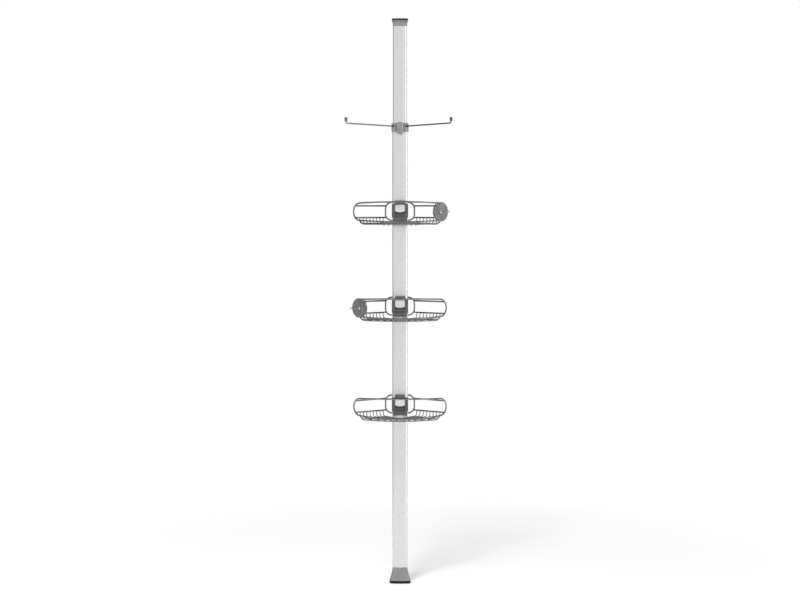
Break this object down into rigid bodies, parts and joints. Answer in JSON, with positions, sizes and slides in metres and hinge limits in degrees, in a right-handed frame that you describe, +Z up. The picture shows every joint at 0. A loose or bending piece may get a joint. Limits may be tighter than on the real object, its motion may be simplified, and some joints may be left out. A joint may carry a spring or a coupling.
{
  "type": "shower caddy",
  "caption": "Floor-to-ceiling tension-pole shower caddy with corner wire baskets on lever clamps, swinging towel arms, hook discs and a lift-out soap dish.",
  "frame": {"origin": "on the pole's axis at the underside of the floor pad", "axes": "+Z up the pole; the baskets face -Y; +X to the right as seen from the front"},
  "size_m": [0.372, 0.1924, 2],
  "materials": {
    "anodised_aluminium": "satin anodised",
    "polished_steel": "polished stainless steel",
    "brushed_steel": "brushed stainless steel",
    "grey_plastic": "satin grey plastic",
    "dark_plastic": "satin dark grey plastic",
    "black_rubber": "matt black rubber",
    "spring_steel": "bright spring steel"
  },
  "bodies": {
    "pole": {"outer_tube": "anodised_aluminium", "foot": "grey_plastic", "foot_pad": "black_rubber", "towel_collar": "grey_plastic", "height_lever_pin": "spring_steel"},
    "inner_pole": {"inner_tube": "anodised_aluminium", "inner_tube_glide": "dark_plastic", "spring_seat": "dark_plastic", "tension_spring": "spring_steel"},
    "ceiling_cap": {"top_cap": "grey_plastic", "ceiling_pad": "black_rubber"},
    "height_lever": {"height_lever": "grey_plastic"},
    "height_shoe": {"height_shoe": "black_rubber"},
    "left_arm": {"towel_arm_left": "polished_steel", "arm_cap_left": "dark_plastic"},
    "right_arm": {"towel_arm_right": "polished_steel", "arm_cap_right": "dark_plastic"},
    "lower_basket": {"lower_basket_frame": "polished_steel", "lower_basket_floor": "polished_steel", "lower_clamp_body": "dark_plastic", "lower_clamp_back": "dark_plastic", "lower_lever_pin": "spring_steel"},
    "lower_lever": {"lower_clamp_lever": "dark_plastic", "lower_lever_plate": "polished_steel"},
    "lower_shoe": {"lower_clamp_shoe": "black_rubber"},
    "middle_basket": {"middle_basket_frame": "polished_steel", "middle_basket_floor": "polished_steel", "middle_clamp_body": "dark_plastic", "middle_clamp_back": "dark_plastic", "middle_lever_pin": "spring_steel", "middle_hook_disc": "brushed_steel", "middle_hook_peg": "polished_steel"},
    "middle_lever": {"middle_clamp_lever": "dark_plastic", "middle_lever_plate": "polished_steel"},
    "middle_shoe": {"middle_clamp_shoe": "black_rubber"},
    "upper_basket": {"upper_basket_frame": "polished_steel", "upper_basket_floor": "polished_steel", "upper_clamp_body": "dark_plastic", "upper_clamp_back": "dark_plastic", "upper_lever_pin": "spring_steel", "upper_hook_disc": "brushed_steel", "upper_hook_peg": "polished_steel"},
    "upper_lever": {"upper_clamp_lever": "dark_plastic", "upper_lever_plate": "polished_steel"},
    "upper_shoe": {"upper_clamp_shoe": "black_rubber"},
    "soap_dish": {"soap_dish": "polished_steel"}
  },
  "joints": [
    {"name": "height_slide", "type": "slide", "parent": "pole", "child": "inner_pole", "axis": [0, 0, 1], "range_m": [-0.33, 0.72]},
    {"name": "tension_slide", "type": "slide", "parent": "inner_pole", "child": "ceiling_cap", "axis": [0, 0, 1], "range_m": [0, 0.02], "deforming": ["tension_spring"]},
    {"name": "height_lever_hinge", "type": "hinge", "parent": "pole", "child": "height_lever", "pos_m": [0, -0.027, 1.607], "axis": [1, 0, 0], "range_deg": [0, 40]},
    {"name": "height_shoe_slide", "type": "slide", "parent": "pole", "child": "height_shoe", "axis": [0, -1, 0], "range_m": [0, 0.0008]},
    {"name": "left_arm_swing", "type": "hinge", "parent": "pole", "child": "left_arm", "pos_m": [-0.0223, -0.027, 1.623], "axis": [0, 0, 1], "range_deg": [-43, 47]},
    {"name": "right_arm_swing", "type": "hinge", "parent": "pole", "child": "right_arm", "pos_m": [0.0223, -0.027, 1.623], "axis": [0, 0, 1], "range_deg": [-43, 47]},
    {"name": "lower_basket_slide", "type": "slide", "parent": "pole", "child": "lower_basket", "axis": [0, 0, 1], "range_m": [-0.5, 0.09]},
    {"name": "lower_lever_hinge", "type": "hinge", "parent": "lower_basket", "child": "lower_lever", "pos_m": [0, -0.025, 0.658], "axis": [-1, 0, 0], "range_deg": [0, 75]},
    {"name": "lower_shoe_slide", "type": "slide", "parent": "lower_basket", "child": "lower_shoe", "axis": [0, -1, 0], "range_m": [0, 0.0008]},
    {"name": "middle_basket_slide", "type": "slide", "parent": "pole", "child": "middle_basket", "axis": [0, 0, 1], "range_m": [-0.09, 0.09]},
    {"name": "middle_lever_hinge", "type": "hinge", "parent": "middle_basket", "child": "middle_lever", "pos_m": [0, -0.025, 1.0075], "axis": [-1, 0, 0], "range_deg": [0, 75]},
    {"name": "middle_shoe_slide", "type": "slide", "parent": "middle_basket", "child": "middle_shoe", "axis": [0, -1, 0], "range_m": [0, 0.0008]},
    {"name": "upper_basket_slide", "type": "slide", "parent": "pole", "child": "upper_basket", "axis": [0, 0, 1], "range_m": [-0.09, 0.15]},
    {"name": "upper_lever_hinge", "type": "hinge", "parent": "upper_basket", "child": "upper_lever", "pos_m": [0, -0.025, 1.3445], "axis": [-1, 0, 0], "range_deg": [0, 75]},
    {"name": "upper_shoe_slide", "type": "slide", "parent": "upper_basket", "child": "upper_shoe", "axis": [0, -1, 0], "range_m": [0, 0.0008]},
    {"name": "soap_dish_lift", "type": "slide", "parent": "upper_basket", "child": "soap_dish", "axis": [0, 0, 1], "range_m": [0, 0.06]}
  ],
  "couplings": [
    {"joint": "height_shoe_slide", "follows": "height_lever_hinge", "m_per_rad": 0.0011},
    {"joint": "lower_shoe_slide", "follows": "lower_lever_hinge", "m_per_rad": 0.0006},
    {"joint": "middle_shoe_slide", "follows": "middle_lever_hinge", "m_per_rad": 0.0006},
    {"joint": "upper_shoe_slide", "follows": "upper_lever_hinge", "m_per_rad": 0.0006}
  ]
}
